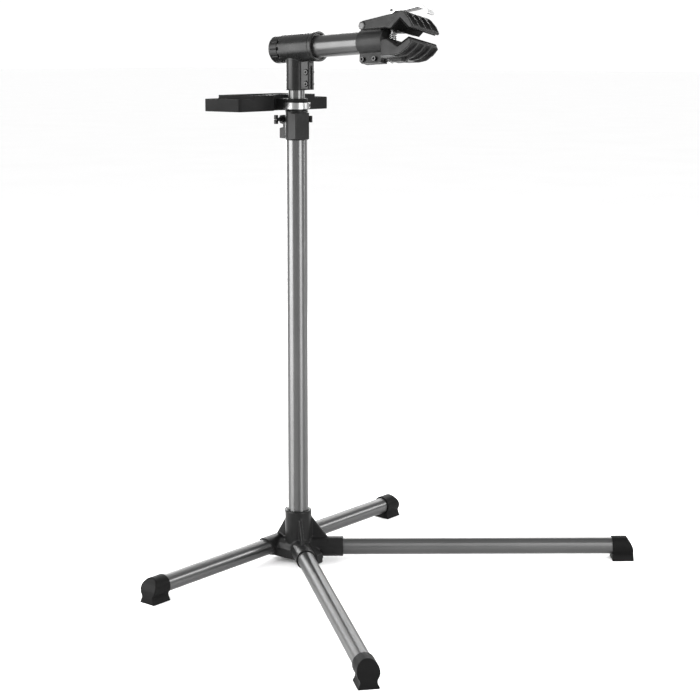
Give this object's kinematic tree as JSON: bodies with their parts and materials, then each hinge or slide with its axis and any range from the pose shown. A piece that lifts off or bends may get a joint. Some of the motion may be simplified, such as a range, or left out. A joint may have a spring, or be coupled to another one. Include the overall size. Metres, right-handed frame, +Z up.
{
  "type": "bike repair stand",
  "caption": "Free-standing bicycle work stand: flat four-legged base, telescoping mast, tool tray and a rotating lever clamp with V-shaped jaws.",
  "frame": {"origin": "on the mast axis at floor level", "axes": "+Z up, +X forward between the two long legs and along the clamp arm, +Y to the left"},
  "size_m": [0.6082, 0.8232, 1.0232],
  "materials": {
    "tube_grey": "satin metallic",
    "cast_black": "satin",
    "black_plastic": "satin",
    "foot_rubber": "matte",
    "jaw_rubber": "matte",
    "bright_steel": "bright zinc"
  },
  "bodies": {
    "base": {"base_hub": "cast_black", "rear_cross_tube": "tube_grey", "front_leg_left": "tube_grey", "front_leg_right": "tube_grey", "foot_front_left": "foot_rubber", "foot_front_right": "foot_rubber", "foot_rear_left": "foot_rubber", "foot_rear_right": "foot_rubber", "leg_screws": "bright_steel", "cross_tube_screw": "bright_steel", "mast_screw": "bright_steel", "mast_tube": "tube_grey", "collar_bush": "black_plastic", "height_collar": "black_plastic", "collar_bolt": "bright_steel"},
    "thumb_nut": {"collar_thumb_nut": "black_plastic"},
    "height_lever": {"collar_lever": "black_plastic", "collar_lever_pin": "bright_steel"},
    "slider": {"inner_tube_guide": "black_plastic"},
    "head": {"inner_tube": "tube_grey", "head_casting": "cast_black", "head_pinch_bolts": "bright_steel", "head_pinch_nuts": "bright_steel", "arm_bush": "black_plastic"},
    "tray": {"tool_tray": "black_plastic", "tray_band": "bright_steel", "tray_band_screw": "bright_steel"},
    "knob": {"lock_knob": "black_plastic", "lock_bolt": "bright_steel"},
    "arm": {"arm_tube": "tube_grey", "arm_end_plug": "cast_black", "jaw_body": "cast_black", "jaw_pinch_bolts": "bright_steel", "jaw_pinch_nuts": "bright_steel", "lower_jaw_pad": "jaw_rubber", "jaw_pivot_pin": "bright_steel", "clamp_nut": "bright_steel", "jaw_spring": "bright_steel"},
    "jaw": {"upper_jaw": "cast_black", "upper_jaw_pad": "jaw_rubber"},
    "seat": {"cam_seat": "black_plastic"},
    "rod": {"clamp_rod": "bright_steel", "lever_pin": "bright_steel"},
    "lever": {"clamp_lever": "bright_steel"}
  },
  "joints": [
    {"name": "height_slide", "type": "slide", "parent": "base", "child": "slider", "axis": [0, 0, 1], "range_m": [0, 0.44]},
    {"name": "head_swivel", "type": "hinge", "parent": "slider", "child": "head", "pos_m": [0, 0, 0.86], "axis": [0, 0, 1], "continuous": true},
    {"name": "thumb_nut_turn", "type": "hinge", "parent": "base", "child": "thumb_nut", "pos_m": [-0.027, -0.02, 0.822], "axis": [0, 1, 0], "continuous": true},
    {"name": "height_lever_open", "type": "hinge", "parent": "base", "child": "height_lever", "pos_m": [-0.027, 0.017, 0.822], "axis": [0, 0, 1], "range_deg": [0, 90]},
    {"name": "tray_swivel", "type": "hinge", "parent": "head", "child": "tray", "pos_m": [0, 0, 0.849], "axis": [0, 0, 1], "continuous": true},
    {"name": "arm_rotation", "type": "hinge", "parent": "head", "child": "arm", "pos_m": [0, 0, 0.9494], "axis": [0.9983, 0, 0.0576], "continuous": true},
    {"name": "knob_turn", "type": "hinge", "parent": "head", "child": "knob", "pos_m": [0, 0, 0.9494], "axis": [0.9983, 0, 0.0576], "continuous": true},
    {"name": "upper_jaw_pivot", "type": "hinge", "parent": "arm", "child": "jaw", "pos_m": [0.1663, 0.00434, 0.98365], "axis": [-0.01, -0.9848, 0.1734], "range_deg": [-2.5, 7.5], "deforming": ["jaw_spring"]},
    {"name": "rod_lift", "type": "slide", "parent": "arm", "child": "seat", "axis": [-0.0567, 0.1736, 0.9832], "range_m": [-0.0022, 0.0066]},
    {"name": "lever_spin", "type": "hinge", "parent": "seat", "child": "rod", "pos_m": [0.21509, 0.00781, 1.00619], "axis": [-0.0567, 0.1736, 0.9832], "continuous": true},
    {"name": "lever_flip", "type": "hinge", "parent": "rod", "child": "lever", "pos_m": [0.21475, 0.00886, 1.01209], "axis": [-0.01, -0.9848, 0.1734], "range_deg": [0, 110]}
  ],
  "couplings": [
    {"joint": "rod_lift", "follows": "upper_jaw_pivot", "m_per_rad": 0.05}
  ]
}
